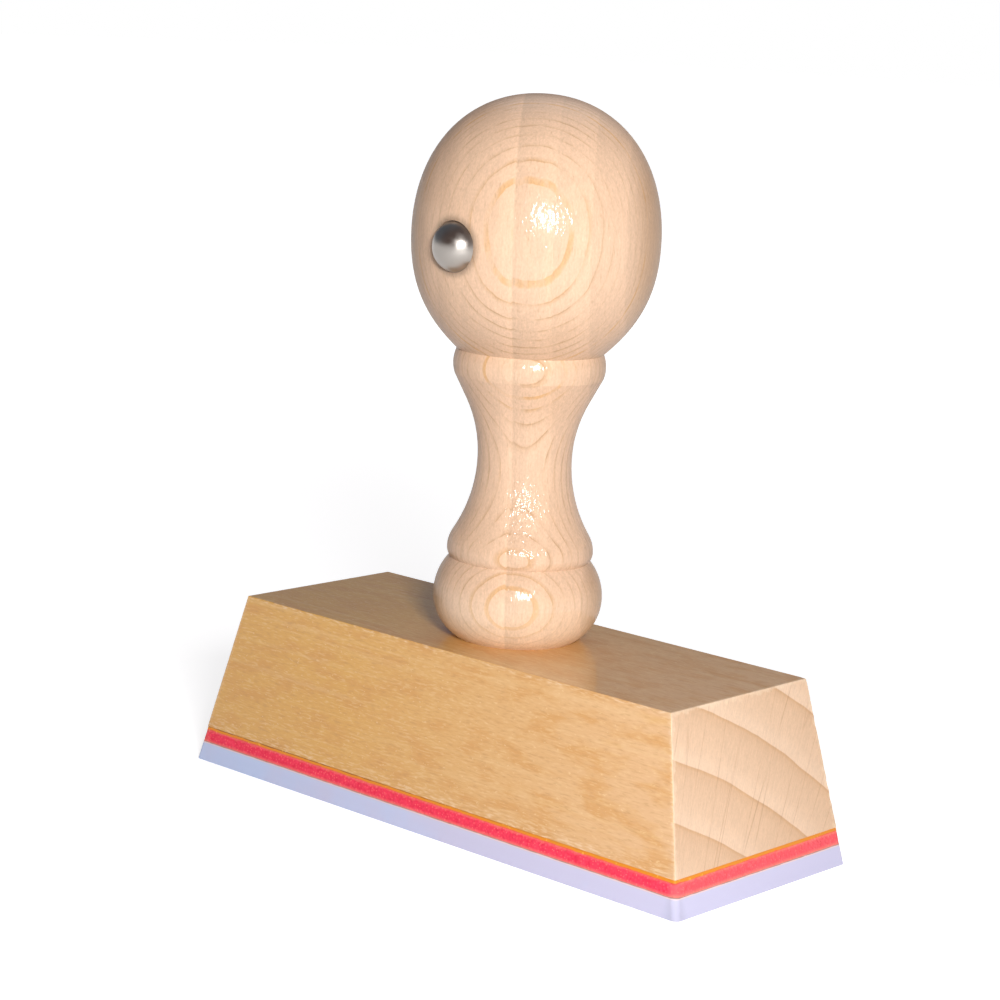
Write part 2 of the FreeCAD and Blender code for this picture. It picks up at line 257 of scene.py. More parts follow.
def add(tree, kind, inputs=None, **settings):
    """Adds a node with its settings; inputs are values, or sockets to link."""
    made = tree.nodes.new(kind)
    for name, value in settings.items():
        setattr(made, name, value)
    for name, value in (inputs or {}).items():
        if isinstance(value, bpy.types.NodeSocket):
            tree.links.new(value, made.inputs[name])
        else:
            made.inputs[name].default_value = value
    return made


def maths(tree, operation, *values, clamp=False):
    """The result of a Math node; values are numbers or sockets."""
    return add(tree, "ShaderNodeMath", dict(enumerate(values)), operation=operation,
               use_clamp=clamp).outputs[0]


def add_up(tree, total, *shares):
    """A total plus each socket times its weight."""
    for source, weight in shares:
        total = maths(tree, "MULTIPLY_ADD", source, weight, total)
    return total


def remap(tree, value, low, high, to_low=0.0, to_high=1.0, smooth=False):
    """Carries the span from low to high onto another, and stays within it."""
    return add(tree, "ShaderNodeMapRange", {
        "Value": value, "From Min": low, "From Max": high, "To Min": to_low, "To Max": to_high},
        interpolation_type="SMOOTHSTEP" if smooth else "LINEAR").outputs[0]


def blend(tree, share, first, second):
    """Goes from the first colour to the second by a share from 0 to 1."""
    return add(tree, "ShaderNodeMix", {"Factor": share, "A": first, "B": second},
               data_type="RGBA").outputs["Result"]


def ramp(tree, value, stops):
    """A colour ramp; stops are pairs of a place and a grey level or a colour."""
    made = add(tree, "ShaderNodeValToRGB", {"Fac": value})
    elements = made.color_ramp.elements
    while len(elements) > 1:
        elements.remove(elements[-1])
    for number, (place, level) in enumerate(stops):
        stop = elements.new(place) if number else elements[0]
        stop.position = place
        stop.color = (level,) * 3 + (1.0,) if isinstance(level, float) else tuple(level)
    return made.outputs[0]


def stretch(tree, place, scales):
    """A place scaled along each axis."""
    return add(tree, "ShaderNodeMapping", {"Vector": place, "Scale": scales}).outputs[0]


def figure_noise(tree, place, scale, detail, **inputs):
    """Noise from 0 to 1; scale is the number of spots for each unit of the place."""
    return add(tree, "ShaderNodeTexNoise", {
        "Vector": place, "Scale": scale, "Detail": detail, **inputs}).outputs["Fac"]


def object_place(tree):
    """Where a point is in its object."""
    return add(tree, "ShaderNodeTexCoord").outputs["Object"]


def split(tree, place):
    """The X, Y and Z of a place, by name."""
    return add(tree, "ShaderNodeSeparateXYZ", {"Vector": place}).outputs


def bump(tree, height, depth, invert=False):
    """Normals for a relief that is depth deep, in mm."""
    return add(tree, "ShaderNodeBump", {
        "Height": height, "Strength": 1.0, "Distance": depth * MM}, invert=invert).outputs[0]


def toned(tree, tint, tone):
    """A colour made darker or lighter."""
    return add(tree, "ShaderNodeVectorMath", {0: tint, "Scale": tone}, operation="SCALE").outputs[0]


def new_material(name):
    """A material whose tree holds only its output; the tree and the output are returned too."""
    material = bpy.data.materials.new(name)
    material.use_nodes = True
    tree = material.node_tree
    tree.nodes.clear()
    return material, tree, tree.nodes.new("ShaderNodeOutputMaterial")


def principled(tree, output, inputs):
    """The surface's shader, joined to the material's output."""
    shader = add(tree, "ShaderNodeBsdfPrincipled", inputs)
    tree.links.new(shader.outputs[0], output.inputs["Surface"])


# ---------------------------------------------------------------- turned beech

def ring_figure(tree, distance, width):
    """How far through its year each point is, from 0 to 1; distance and width are in mm."""
    return maths(tree, "FRACT", maths(tree, "DIVIDE", distance, width))


def upright_bands(tree, axes):
    """Tone of the upright bands on the handle, 3 to 5 mm wide: each starts dark and clears."""
    # They lean a little, by 0.02 mm for each mm of height.
    sheet = maths(tree, "MULTIPLY_ADD", axes["Z"], -0.02, 1.6)
    sheet = maths(tree, "SUBTRACT", sheet, axes["X"])
    sheet = remap(tree, sheet, BAND_REACH, -BAND_REACH)
    stops = [(0.0, 0.6)]
    for place, before, after in BANDS:
        share = (place + BAND_REACH) / (2 * BAND_REACH)
        stops += [(share - 0.006, before), (share + 0.002, after)]
    return ramp(tree, sheet, stops)


def late_wood(tree, settings, axes, depth, patch, from_eye):
    """Share and tint of the late wood, the dark line that ends each year.

    Two years are golden and broad. The lines fade in patches and towards the handle's sides,
    and stay round the eye in the foot.
    """
    share = ring_figure(tree, depth, settings.ring_width / MM)
    thin = ramp(tree, share, [
        (0.0, 0.55), (0.05, 0.1), (0.16, 0.0), (0.72, 0.0), (0.9, 0.4), (0.985, 1.0)])
    thick = ramp(tree, share, [
        (0.0, 0.3), (0.04, 0.05), (0.7, 0.0), (0.8, 0.8), (0.93, 0.9), (0.985, 1.0)])
    golden = ramp(tree, remap(tree, depth, 0.0, YEAR_REACH), [
        (0.0, 0.0), (0.68, 0.0), (0.71, 1.0), (0.74, 1.0), (0.76, 0.0), (0.93, 0.0),
        (0.955, 1.0), (1.0, 0.8)])
    late = blend(tree, golden, thin, thick)
    aside = remap(tree, maths(tree, "ABSOLUTE", axes["X"]), 5.0, 12.0, 1.0, 0.4)
    seen = maths(tree, "MULTIPLY", remap(tree, patch, 0.4, 0.62, 0.08, 0.75), aside)
    kept = maths(tree, "MULTIPLY", golden, remap(tree, patch, 0.44, 0.58, 0.14, 0.8))
    seen = maths(tree, "MAXIMUM", seen, kept)
    seen = maths(tree, "MAXIMUM", seen, remap(tree, from_eye, 9.0, 4.5, 0.0, 0.75))
    tint = blend(tree, golden, settings.handle_late, settings.handle_gold)
    return maths(tree, "MULTIPLY", late, seen), tint


def ring_crowding_and_side_shade(tree, axes):
    """How near the handle's sides a point is, where the cut runs steeply across the years; the
    darkening there is also painted shade on the sides that the camera sees edge-on.
    """
    # Below the knob the handle is thinner, so its sides start nearer the axis.
    thinner = remap(tree, axes["Z"], 64.0, 69.0, 0.7, 1.0)
    side = maths(tree, "DIVIDE", maths(tree, "ABSOLUTE", axes["X"]), thinner)
    return remap(tree, side, 12.5, 16.8, 0.0, 0.7, smooth=True)


def pin_painted_shade(tree, coords):
    """Painted shade round the pin, darkest in the corner where it meets the wood, from 0 to -0.6.
    """
    # Millimetres from the pin's middle, with those along the pin counted for less.
    pin_low, pin_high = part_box("index_pin")
    pin = add(tree, "ShaderNodeMapping", {
        "Vector": coords, "Location": (pin_low + pin_high) / -2 / MM, "Scale": (1 / MM,) * 3})
    from_pin = add(tree, "ShaderNodeVectorMath", {0: pin.outputs[0], 1: (1.0, 0.35, 1.0)},
                   operation="MULTIPLY")
    from_pin = add(tree, "ShaderNodeVectorMath", {0: from_pin.outputs[0]}, operation="LENGTH")
    return remap(tree, from_pin.outputs["Value"], 4.8, 3.4, 0.0, -0.6, smooth=True)


def turned_beech(settings):
    """Beech, turned on a lathe and dipped in clear gloss lacquer.

    Beech gives pale pink-cream wood with thin tan ring lines, which run as ovals round the
    knob, faint upright bands where its rays change course, and short brown ray ends; the
    thick lacquer gives a broken, wet-looking highlight.
    """
    material, tree, output = new_material("Lacquered turned beech")
    coords = object_place(tree)
    grain = add(tree, "ShaderNodeMapping", {
        "Vector": coords, "Rotation": (0, 0, -settings.ring_bearing),
        "Scale": (1 / MM,) * 3}).outputs[0]
    axes = split(tree, grain)
    band = upright_bands(tree, axes)

    # Years counted towards the front, where the outermost ring is; a slow drift bends them.
    stretched = stretch(tree, grain, (0.2, 0.2, 0.09))
    wander = figure_noise(tree, stretched, 1.0, 3.0)
    depth = maths(tree, "MULTIPLY_ADD", axes["Y"], -1.0, YEAR_START)
    depth = add_up(tree, depth, (axes["Z"], settings.ring_lean), (wander, 0.5), (band, 0.12))
    # A small eye in the figure, at the middle of the foot's front.
    from_eye = add(tree, "ShaderNodeVectorMath", {0: grain, 1: FOOT_EYE},
                   operation="DISTANCE").outputs["Value"]
    depth = maths(tree, "ADD", depth, remap(tree, from_eye, 5.0, 0.0, 0.0, 0.48, smooth=True))
    patch = figure_noise(tree, stretched, 1.9, 3.0, Distortion=0.4)
    late, late_tint = late_wood(tree, settings, axes, depth, patch, from_eye)

    # Fine fibres along the grain, pores, and the short ends of the rays.
    fibre = figure_noise(tree, stretch(tree, grain, (3.0, 3.0, 0.22)), 1.0, 3.0, Roughness=0.65)
    pore = figure_noise(tree, stretch(tree, grain, (4.5, 4.5, 2.4)), 1.0, 2.0)
    ray = figure_noise(tree, stretch(tree, grain, (4.6, 1.8, 0.62)), 1.0, 1.5)
    dark_ray = remap(tree, ray, 0.62, 0.8, 0.0, 0.3)
    pale_ray = remap(tree, ray, 0.38, 0.24, 0.0, 0.08)

    wood = blend(tree, late, settings.handle_pale, late_tint)
    wood = blend(tree, dark_ray, wood, settings.handle_fleck)
    # Towards the sides the dark lines of the years crowd together, and the darker sides are also
    # painted shade.
    wood = blend(tree, ring_crowding_and_side_shade(tree, axes), wood, settings.handle_late)
    # The foot is paler, blending towards the torn-fibre colour below 34 mm.
    wood = blend(tree, remap(tree, axes["Z"], 34.0, 26.0, 0.0, 0.45), wood, settings.torn)
    # The last share is painted shade round the pin.
    tone = add_up(tree, 0.565, (fibre, 0.28), (pore, 0.3), (patch, 0.12), (band, 0.16),
                  (pale_ray, 1.0), (pin_painted_shade(tree, coords), 1.0))

    # The lacquer bridges the pores unevenly, in shallow upright dimples about 0.5 mm across.
    # They are deeper on the waist, where the lathe tool left a rougher surface.
    ridge = figure_noise(tree, stretch(tree, grain, (2.2, 2.2, 0.8)), 1.0, 1.6)
    coarse = ramp(tree, remap(tree, axes["Z"], 25.0, 99.0), [
        (0.0, 0.36), (0.12, 0.36), (0.2, 1.0), (0.36, 1.0), (0.46, 0.5)])
    skin = bump(tree, maths(tree, "MULTIPLY", ridge, coarse), 0.24)
    principled(tree, output, {
        "Base Color": toned(tree, wood, tone), "Roughness": 0.55, "IOR": 1.45,
        "Specular IOR Level": 0.08, "Normal": bump(tree, fibre, 0.03),
        "Coat Weight": 0.34, "Coat Roughness": 0.15, "Coat IOR": 1.7, "Coat Normal": skin})
    return material


# ---------------------------------------------------------------- block

def block_coordinates(tree):
    """Millimetre coordinates of the block's wood: along, round the pith, and out from it.

    The pith lies below and in front of the block, so the rings fall to the right across its
    ends. Returns sockets for the length, the angle as an arc in mm, and the radius.
    """
    # In mm: where the pith is, the mean distance from it, and a shift that places the rings.
    pith_y, pith_z, mean_radius, ring_shift = -52.0, -76.0, 105.0, 0.55
    coords = object_place(tree)
    place = add(tree, "ShaderNodeMapping", {
        "Vector": coords, "Location": (0, -pith_y, -pith_z), "Scale": (1 / MM,) * 3}).outputs[0]
    wander = figure_noise(tree, stretch(tree, place, (0.02, 0.09, 0.09)), 1.0, 3.0)
    axes = split(tree, place)
    flat = add(tree, "ShaderNodeCombineXYZ", {"Y": axes["Y"], "Z": axes["Z"]})
    radius = add(tree, "ShaderNodeVectorMath", {0: flat.outputs[0]}, operation="LENGTH")
    radius = maths(tree, "ADD", radius.outputs["Value"], ring_shift)
    radius = add_up(tree, radius, (wander, 0.9))
    angle = maths(tree, "ARCTAN2", axes["Y"], axes["Z"])
    return axes["X"], maths(tree, "MULTIPLY", angle, mean_radius), radius


def wood_figure(tree, place, parts):
    """Noise by name; parts gives each one's name, spots per mm along each axis, and detail."""
    return {name: figure_noise(tree, stretch(tree, place, scales), 1.0, detail)
            for name, scales, detail in parts}


def inset(tree, axes, name):
    """How far a point lies inside the block's two sloped faces across the axis X or Y."""
    number = "XY".index(name)
    low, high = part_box("mount_block")
    growth = flank_growth()[number]
    reach = maths(tree, "MULTIPLY_ADD", axes["Z"], -growth, high[number] + growth * low.z)
    return maths(tree, "SUBTRACT", reach, maths(tree, "ABSOLUTE", axes[name]))


def torn_fibres(tree, figure):
    """How torn the planed faces are.

    The cutter lifts short pale splinters along the foot and frays the upper arris, and the
    saw breaks the fibres off where they meet the ends.
    """
    axes = split(tree, object_place(tree))
    foot, crest = (corner.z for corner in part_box("mount_block"))
    torn = remap(tree, axes["Z"], foot + 1.6 * MM, foot, 0.0, 0.36)
    frayed = remap(tree, axes["Z"], crest - 0.7 * MM, crest - 0.25 * MM, 0.0, 0.35)
    # The block's top face isn't frayed.
    below_top = maths(tree, "LESS_THAN", axes["Z"], crest - 0.02 * MM)
    torn = maths(tree, "MAXIMUM", torn, maths(tree, "MULTIPLY", frayed, below_top))
    torn = maths(tree, "MULTIPLY", torn, remap(tree, figure["fleck"], 0.48, 0.66))
    inside = add_up(tree, inset(tree, axes, "X"), (figure["speck"], 1.2 * MM))
    broken = remap(tree, inside, 1.1 * MM, 0.5 * MM, 0.0, 0.4)
    return maths(tree, "MAXIMUM", torn, broken)


def planed_beech(settings):
    """Steamed beech moulding, planed along the grain under one thin coat of lacquer.

    Steaming turns beech orange-tan. The long faces lie along the rays, which show as short
    silky flecks, and the rings as faint lengthwise streaks.
    """
    material, tree, output = new_material("Planed steamed beech")
    along, arc, radius = block_coordinates(tree)
    place = add(tree, "ShaderNodeCombineXYZ", {"X": along, "Y": arc, "Z": radius}).outputs[0]
    figure = wood_figure(tree, place, (
        ("blotch", (0.16, 0.5, 0.5), 4.0), ("streak", (0.025, 1.1, 1.1), 3.0),
        ("fleck", (0.75, 4.2, 4.2), 2.5), ("speck", (1.6, 3.4, 3.4), 1.0)))

    # The wood is paler and pinker towards the right-hand end.
    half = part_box("mount_block")[1].x / MM
    end = remap(tree, along, -0.4 * half, half, 0.0, 0.8)
    wood = blend(tree, end, settings.block_tan, settings.block_pale)
    # Each tint's share grows up to its most while the noise goes from low to high.
    for name, low, high, most, tint in (
            ("blotch", 0.46, 0.64, 0.65, settings.block_brown),
            ("streak", 0.5, 0.75, 0.22, settings.block_brown),
            ("streak", 0.44, 0.3, 0.22, settings.block_silk),
            ("fleck", 0.46, 0.27, 0.42, settings.block_shade),
            ("fleck", 0.54, 0.7, 0.4, settings.block_silk),
            ("speck", 0.69, 0.76, 0.6, settings.block_silk)):
        wood = blend(tree, remap(tree, figure[name], low, high, 0.0, most), wood, tint)
    wood = blend(tree, torn_fibres(tree, figure), wood, settings.torn)
    principled(tree, output, {
        "Base Color": wood, "Roughness": 0.55, "IOR": 1.5, "Specular IOR Level": 0.3,
        "Normal": bump(tree, figure["fleck"], 0.015),
        "Coat Weight": 1.0, "Coat Roughness": 0.1, "Coat IOR": 1.5})
    return material


def ray_lines(tree, place, cloud):
    """Rays on the end grain: hair lines between cells drawn out along them, some fainter."""
    cells = add(tree, "ShaderNodeTexVoronoi", {
        "Vector": stretch(tree, place, (0.27, 0.012, 0.02)), "Scale": 1.0},
        feature="DISTANCE_TO_EDGE")
    line = remap(tree, cells.outputs["Distance"], 0.021, 0.006, 0.0, 0.36)
    return maths(tree, "MULTIPLY", line, remap(tree, cloud, 0.4, 0.62, 0.1, 1.0))


def sawn_beech(settings):
    """Beech end grain, cross-cut with a fine saw and left bare.

    Cut across the grain, beech is paler and matt, with broad arcs of late wood and dark hair
    lines, the rays, that cross them. The saw tears the fibres pale along the arrises.
    """
    material, tree, output = new_material("Sawn beech end grain")
    along, arc, radius = block_coordinates(tree)
    late = ramp(tree, ring_figure(tree, radius, settings.block_ring_width / MM), [
        (0.0, 0.0), (0.1, 0.02), (0.3, 0.25), (0.75, 0.5), (0.9, 0.7), (0.955, 1.0), (0.975, 0.0)])
    place = add(tree, "ShaderNodeCombineXYZ", {"X": arc, "Y": radius, "Z": along}).outputs[0]
    figure = wood_figure(tree, place, (
        ("hair", (5.0, 0.7, 0.5), 3.0), ("pore", (3.2, 3.2, 0.5), 2.0),
        ("cloud", (0.14, 0.14, 0.1), 2.0), ("chip", (0.9, 0.9, 0.3), 3.0)))
    wood = blend(tree, late, settings.end_pale, settings.end_late)
    wood = blend(tree, ray_lines(tree, place, figure["cloud"]), wood, settings.end_ray)

    # Each end is torn pale along its two sides and its top, with a ragged inner line.
    axes = split(tree, object_place(tree))
    below = maths(tree, "SUBTRACT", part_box("mount_block")[1].z, axes["Z"])
    inside = maths(tree, "MINIMUM", inset(tree, axes, "Y"), below)
    ragged = remap(tree, figure["chip"], 0.3, 0.7, -0.45 * MM, 0.45 * MM)
    inside = maths(tree, "ADD", inside, ragged)
    wood = blend(tree, remap(tree, inside, 0.55 * MM, 0.1 * MM, 0.0, 0.35), wood, settings.torn)

    tone = add_up(tree, 0.745, (figure["hair"], 0.26), (figure["cloud"], 0.12),
                  (figure["pore"], 0.16))
    principled(tree, output, {
        "Base Color": toned(tree, wood, tone), "Roughness": 0.75, "IOR": 1.5,
        "Specular IOR Level": 0.25, "Normal": bump(tree, figure["hair"], 0.04)})
    return material


# ---------------------------------------------------------------- cushion, films, die, metal

def level_in(tree, axes, node_name):
    """The height in a CAD node: 0 at its foot and 1 at its top."""
    low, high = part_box(node_name)
    return remap(tree, axes["Z"], low.z, high.z)


def cut_foam(settings):
    """Fine closed-cell foam, knife-cut, so the edge is grainy with opened cells.

    The blade presses the cells flat at the sheet's two faces, which turns them paler there.
    """
    material, tree, output = new_material("Cut closed-cell foam")
    coords = object_place(tree)
    axes = split(tree, coords)
    level = level_in(tree, axes, "foam_cushion")
    cells = add(tree, "ShaderNodeTexVoronoi", {
        "Vector": coords, "Scale": 1 / (0.38 * MM)}).outputs["Distance"]
    grain = figure_noise(tree, coords, 1 / (0.8 * MM), 4.0)
    depth = remap(tree, add_up(tree, grain, (cells, 0.6)), 0.45, 1.15)
    tint = blend(tree, depth, settings.foam, settings.foam_deep)

    # Pale skin near both faces, more of it on the two end cuts, and burst pale cells.
    edge = maths(tree, "ABSOLUTE", maths(tree, "SUBTRACT", level, 0.5))
    skin = remap(tree, add_up(tree, edge, (grain, 0.5)), 0.55, 0.85, 0.0, 0.6)
    skin = maths(tree, "MAXIMUM", skin, remap(tree, level, 0.26, 0.0, 0.0, 0.5))
    end_x = -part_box("foam_cushion")[0].x
    end = remap(tree, maths(tree, "ABSOLUTE", axes["X"]), end_x - 1.6 * MM, end_x - 0.6 * MM,
                0.0, 0.22)
    skin = maths(tree, "ADD", skin, end, clamp=True)
    tint = blend(tree, skin, tint, settings.foam_skin)
    tint = blend(tree, remap(tree, cells, 0.24, 0.08, 0.0, 0.6), tint, settings.foam_skin)
    principled(tree, output, {
        "Base Color": tint, "Roughness": 0.8, "IOR": 1.45, "Specular IOR Level": 0.3,
        "Normal": bump(tree, depth, 0.08, invert=True),
        "Subsurface Weight": 0.15, "Subsurface Radius": (1.0, 0.25, 0.2),
        "Subsurface Scale": 0.6 * MM})
    return material


def engraved_rubber(settings):
    """Laser-engraving rubber, smooth and matt, with a faint dusty bloom; it is painted lighter
    towards the right-hand end and painted darker on its front right corner.
    """
    material, tree, output = new_material("Engraving rubber")
    coords = object_place(tree)
    axes = split(tree, coords)
    low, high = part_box("rubber_die")
    # Painted light: towards the right-hand end the die is painted lighter and more lilac, as if lit
    # more there; the noise adds a real dusty bloom.
    along = remap(tree, axes["X"], -high.x, 0.6 * high.x, -0.35, 0.45)
    bloom = maths(tree, "ADD", figure_noise(tree, coords, 1 / (7 * MM), 4.0), along)
    tint = blend(tree, remap(tree, bloom, 0.2, 0.8), settings.rubber, settings.rubber_bloom)
    # Painted shade: the rounded corner at the front right is a little darker, to damp the lamp's
    # bright stripe on it.
    far = high.x - low.y
    corner_painted_shade = remap(tree, maths(tree, "SUBTRACT", axes["X"], axes["Y"]), far - 2.6 * MM,
                  far - 1.1 * MM, 1.0, 0.86)
    skin = figure_noise(tree, coords, 1 / (0.35 * MM), 2.0)
    principled(tree, output, {
        "Base Color": toned(tree, tint, corner_painted_shade), "Roughness": 0.9, "IOR": 1.5,
        "Specular IOR Level": 0.06, "Normal": bump(tree, skin, 0.01)})
    return material


def adhesive_film(name, node_name, stops, speck, shade):
    """Transfer adhesive, a soft clear film whose cut edge is a little uneven.

    stops gives the colours from foot to top, the lowest of which can be that of the sheet
    below, seen through the film. speck is the colour of small bright beads, and shade is the
    painted shade along the film's upper edge, under the sheet above.
    """
    material, tree, output = new_material(name)
    coords = object_place(tree)
    axes = split(tree, coords)
    smear = figure_noise(tree, coords, 1 / (1.6 * MM), 4.0)
    level = maths(tree, "SUBTRACT", add_up(tree, level_in(tree, axes, node_name), (smear, 0.7)),
                  0.35)
    tint = ramp(tree, level, stops)
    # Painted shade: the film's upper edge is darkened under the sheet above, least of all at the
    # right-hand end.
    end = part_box(node_name)[1].x
    leftwards = remap(tree, axes["X"], -0.5 * end, 0.9 * end, 1.0, 0.1)
    top = maths(tree, "MULTIPLY", remap(tree, level, 0.68, 0.9), leftwards)
    tint = blend(tree, top, tint, shade)
    beads = figure_noise(tree, coords, 1 / (0.7 * MM), 1.0)
    tint = blend(tree, remap(tree, beads, 0.68, 0.74, 0.0, 0.8), tint, speck)
    principled(tree, output, {"Base Color": tint, "Roughness": 0.35, "IOR": 1.47})
    return material


def bright_metal(name, tint, roughness, scratch):
    """Plated steel, which mirrors the room; fine scratches change how sharply."""
    material, tree, output = new_material(name)
    marks = figure_noise(tree, object_place(tree), 1 / (0.8 * MM), 4.0)
    polish = remap(tree, marks, 0.35, 0.7, roughness, roughness + scratch)
    principled(tree, output, {"Base Color": tint, "Metallic": 1.0, "Roughness": polish})
    return material


# ---------------------------------------------------------------- pieces

class STAMP_OT_handle(bpy.types.Operator):
    """Finish the turned handle"""
    bl_idname = "stamp.handle"
    bl_label = "Turned handle"

    def execute(self, context):
        dress("handle", turned_beech(context.scene.stamp_beech))
        return {"FINISHED"}


class STAMP_OT_fasteners(bpy.types.Operator):
    """Model the index pin on its CAD mesh, and finish the hidden screw"""
    bl_idname = "stamp.fasteners"
    bl_label = "Pin and screw"

    def execute(self, context):
        layers = context.scene.stamp_layers
        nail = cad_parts["index_pin"].data

        def make(shape):
            # The CAD mesh is loose triangles; joined up, the dome mirrors the room evenly.
            shape.from_mesh(nail)
            bmesh.ops.remove_doubles(shape, verts=shape.verts, dist=0.01 * MM)
            shade_smooth(shape)

        plated = bright_metal("Nickel-plated steel", layers.nickel, roughness=0.28, scratch=0.1)
        new_piece("nickel_pin", make, [plated], "mounted_handle", "index_pin")
        dress("handle_screw", bright_metal("Zinc-plated steel", layers.steel, roughness=0.3,
                                           scratch=0.15))
        return {"FINISHED"}


class STAMP_OT_block(bpy.types.Operator):
    """Model the block with its worn arrises, planed faces and sawn ends"""
    bl_idname = "stamp.block"
    bl_label = "Beech block"

    def execute(self, context):
        settings = context.scene.stamp_beech
        low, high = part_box("mount_block")

        def wear_down(place, half):
            # The wear is uneven, and the saw tears small chips at the right-hand end.
            chips = max(0.0, noise.noise(place / (1.1 * MM)))
            torn = 1.4 if place.x > half.x - 1.5 * MM else 0.25
            radius = settings.arris_wear * (0.4 + torn * chips)
            return rub_round(place, half, radius, top=True)[0]

        def make(shape):
            soft_box(shape, low, high, cuts=88, settle=wear_down)
            # Faces that lean towards an end show end grain.
            least_lean = 0.12
            for face in shape.faces:
                if abs(face.normal.x) > least_lean:
                    face.material_index = 1

        new_piece("beech_block", make, [planed_beech(settings), sawn_beech(settings)],
                  "mounted_handle", "mount_block")
        return {"FINISHED"}


class STAMP_OT_layers(bpy.types.Operator):
    """Model the foam cushion and finish the two films and the die"""
    bl_idname = "stamp.layers"
    bl_label = "Cushion, films and die"

    def execute(self, context):
        layers = context.scene.stamp_layers
        low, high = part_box("foam_cushion")

        def cut(place, half):
            # The knife leaves small corners, and the one at the front right is rubbed round.
            worn = place.x > 0 > place.y
            radius = layers.worn_corner if worn else layers.cut_corner
            place, outward = rub_round(place, half, radius, top=False)
            # The cut waves by about this much, in mm, except at the sheet's two faces.
            wave = 0.03
            ragged = noise.noise(place / (0.9 * MM)) * (1 - abs(place.z / half.z) ** 6)
            return place + outward.normalized() * wave * MM * (ragged - 0.5)

        def make(shape):
            soft_box(shape, low, high, cuts=60, settle=cut)

        foam = new_piece("foam_cushion_cut", make, [cut_foam(layers)], "mounted_handle",
                         "foam_cushion")
        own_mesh(foam)
        dress("upper_adhesive", adhesive_film("Amber transfer film", "upper_adhesive", [
            (0.0, layers.amber_low), (0.1, layers.amber_low), (0.26, layers.amber)],
            layers.amber_bead, layers.amber_dark))
        # The buff film's top stop and its shade colour are painted shade along its upper edge.
        dress("lower_adhesive", adhesive_film("Buff transfer film", "lower_adhesive", [
            (0.0, layers.buff), (0.45, layers.buff), (0.8, layers.buff_dark)],
            layers.buff, layers.buff_dark))
        dress("rubber_die", engraved_rubber(layers))
        return {"FINISHED"}


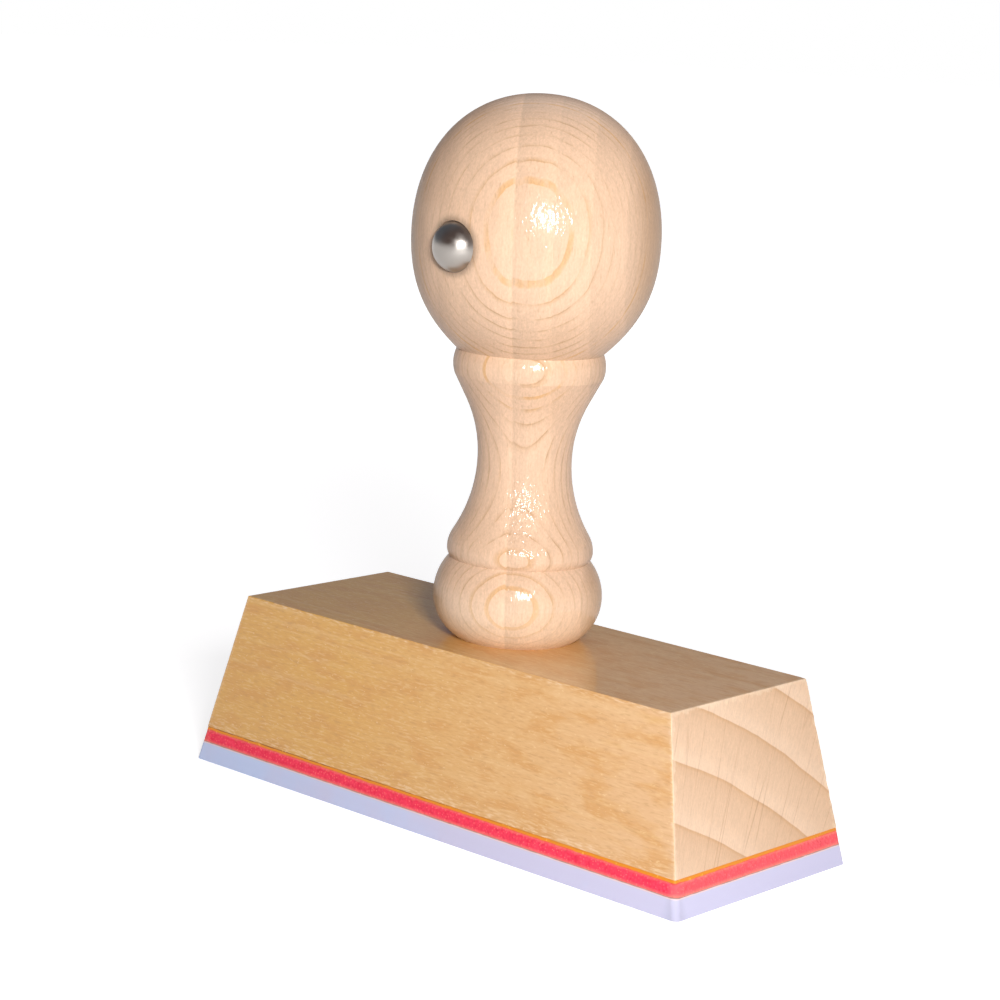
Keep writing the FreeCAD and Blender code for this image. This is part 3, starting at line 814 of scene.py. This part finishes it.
class STAMP_OT_stage(bpy.types.Operator):
    """Set up the floor, the lamps, the sky and the camera"""
    bl_idname = "stamp.stage"
    bl_label = "Stage"

    def execute(self, context):
        stage = context.scene.stamp_stage
        self.make_camera(context, stage)
        self.make_lamps(context, stage)
        self.make_floor(context)
        self.make_sky(context, stage)
        context.scene.view_settings.view_transform = "Standard"
        return {"FINISHED"}

    def camera_axes(self, stage):
        """Right, up and backward directions of the camera."""
        across = math.cos(stage.elevation)
        back = Vector((math.sin(stage.azimuth) * across, -math.cos(stage.azimuth) * across,
                       math.sin(stage.elevation)))
        right = Vector((0, 0, 1)).cross(back).normalized()
        up = back.cross(right)
        turn = Matrix.Rotation(stage.roll, 3, back)
        return turn @ right, turn @ up, back

    def make_camera(self, context, stage):
        right, up, back = self.camera_axes(stage)
        aim = Vector(step * MM for step in CAMERA_AIM)
        data = bpy.data.cameras.new("camera")
        data.sensor_width = 36.0
        data.lens = stage.focal_length
        data.clip_start = 0.01
        data.clip_end = 20.0
        camera = bpy.data.objects.new("camera", data)
        turn = Matrix((right, up, back)).transposed().to_4x4()
        camera.matrix_world = Matrix.Translation(aim + back * stage.distance) @ turn
        context.scene.collection.objects.link(camera)
        context.scene.camera = camera

    def area_lamp(self, context, name, bearing, height, distance, size, power):
        """A soft lamp that faces the middle of the stamp; distance and size are in metres."""
        data = bpy.data.lights.new(name, "AREA")
        data.shape = "RECTANGLE"
        data.size, data.size_y = size
        data.energy = power
        target = (CAD_BOX[0] + CAD_BOX[1]) / 2
        away = Vector((math.sin(bearing) * math.cos(height),
                       -math.cos(bearing) * math.cos(height), math.sin(height)))
        lamp = bpy.data.objects.new(name, data)
        lamp.location = target + away * distance
        lamp.rotation_mode = "QUATERNION"
        lamp.rotation_quaternion = (-away).to_track_quat("-Z", "Y")
        context.scene.collection.objects.link(lamp)

    def make_lamps(self, context, stage):
        self.area_lamp(context, "lamp", bearing=stage.azimuth + math.radians(7.5),
                       height=stage.elevation + math.radians(6.5), distance=0.37,
                       size=(0.06, 0.045), power=stage.lamp_power)
        self.area_lamp(context, "fill", bearing=stage.azimuth + math.radians(170),
                       height=math.radians(48), distance=0.8, size=(0.6, 0.6),
                       power=stage.fill_power)

    def make_floor(self, context):
        """A matt floor, with a glow that only the camera and shiny surfaces see."""
        material, tree, output = new_material("Pale studio floor")
        away = add(tree, "ShaderNodeVectorMath", {0: object_place(tree)},
                   operation="LENGTH").outputs["Value"]
        # The glow grows from 0.72 within 80 mm of the middle to 0.99 beyond 0.6 m.
        glow = remap(tree, away, 0.08, 0.6, 0.72, 0.99)
        path = add(tree, "ShaderNodeLightPath").outputs
        seen = maths(tree, "ADD", path["Is Camera Ray"], path["Is Glossy Ray"])
        seen = maths(tree, "ADD", seen, path["Is Transmission Ray"], clamp=True)
        matt = add(tree, "ShaderNodeBsdfDiffuse", {"Color": linear("CCCCCC")})
        light = add(tree, "ShaderNodeEmission", {
            "Color": linear("FFFFFF"), "Strength": maths(tree, "MULTIPLY", glow, seen)})
        both = add(tree, "ShaderNodeAddShader", {0: matt.outputs[0], 1: light.outputs[0]})
        tree.links.new(both.outputs[0], output.inputs["Surface"])
        # The floor lies just under the die, and reaches 4 m each way.
        reach, gap = 4.0, 0.02 * MM
        shape = bmesh.new()
        bmesh.ops.create_grid(shape, x_segments=1, y_segments=1, size=reach)
        for vert in shape.verts:
            vert.co.z = CAD_BOX[0].z - gap
        mesh = bpy.data.meshes.new("floor")
        shape.to_mesh(mesh)
        shape.free()
        mesh.materials.append(material)
        floor = bpy.data.objects.new("floor", mesh)
        context.scene.collection.objects.link(floor)

    def make_sky(self, context, stage):
        """A dim room on the camera's side, brighter behind, and white at the horizon."""
        world = bpy.data.worlds.new("studio")
        context.scene.world = world
        world.use_nodes = True
        tree = world.node_tree
        tree.nodes.clear()
        look = add(tree, "ShaderNodeTexCoord").outputs["Generated"]
        back = Vector((math.sin(stage.azimuth), -math.cos(stage.azimuth), 0))
        side = add(tree, "ShaderNodeVectorMath", {0: look, 1: back},
                   operation="DOT_PRODUCT").outputs["Value"]
        # The far side gives way to the camera's side over this span of the cosine.
        turn = (-0.4, 0.6)
        room = remap(tree, side, *turn, stage.sky, stage.gloom, smooth=True)
        tint = blend(tree, remap(tree, side, *turn, smooth=True), stage.sky_tint, stage.gloom_tint)
        # White up to 3 degrees above the horizon, and gone by 7 degrees.
        height = split(tree, look)["Z"]
        horizon = remap(tree, height, 0.055, 0.12, 1.0, 0.0, smooth=True)
        strength = add(tree, "ShaderNodeMix", {"Factor": horizon, "A": room, "B": 1.0},
                       data_type="FLOAT").outputs["Result"]
        sky = add(tree, "ShaderNodeBackground", {
            "Color": blend(tree, horizon, tint, linear("FFFFFF")), "Strength": strength})
        output = add(tree, "ShaderNodeOutputWorld", {"Surface": sky.outputs[0]})
        output.is_active_output = True


class STAMP_PT_panel(bpy.types.Panel):
    """Lists the stamp's settings and its steps"""
    bl_idname = "STAMP_PT_panel"
    bl_label = "Hand stamp"
    bl_space_type = "VIEW_3D"
    bl_region_type = "UI"
    bl_category = "Stamp"

    def draw(self, context):
        for group in (context.scene.stamp_beech, context.scene.stamp_layers,
                      context.scene.stamp_stage):
            box = self.layout.box()
            for name in group.__annotations__:
                box.prop(group, name)
        for step in STEPS:
            self.layout.operator(step.bl_idname)


STEPS = (STAMP_OT_handle, STAMP_OT_fasteners, STAMP_OT_block, STAMP_OT_layers, STAMP_OT_stage)
CLASSES = (StampBeech, StampLayers, StampStage, *STEPS, STAMP_PT_panel)


def register():
    for cls in CLASSES:
        bpy.utils.register_class(cls)
    bpy.types.Scene.stamp_beech = PointerProperty(type=StampBeech)
    bpy.types.Scene.stamp_layers = PointerProperty(type=StampLayers)
    bpy.types.Scene.stamp_stage = PointerProperty(type=StampStage)


def unregister():
    del bpy.types.Scene.stamp_stage
    del bpy.types.Scene.stamp_layers
    del bpy.types.Scene.stamp_beech
    for cls in reversed(CLASSES):
        bpy.utils.unregister_class(cls)


def main():
    register()
    bpy.ops.stamp.handle()
    bpy.ops.stamp.fasteners()
    bpy.ops.stamp.block()
    bpy.ops.stamp.layers()
    bpy.ops.stamp.stage()


if __name__ == "__main__":
    main()
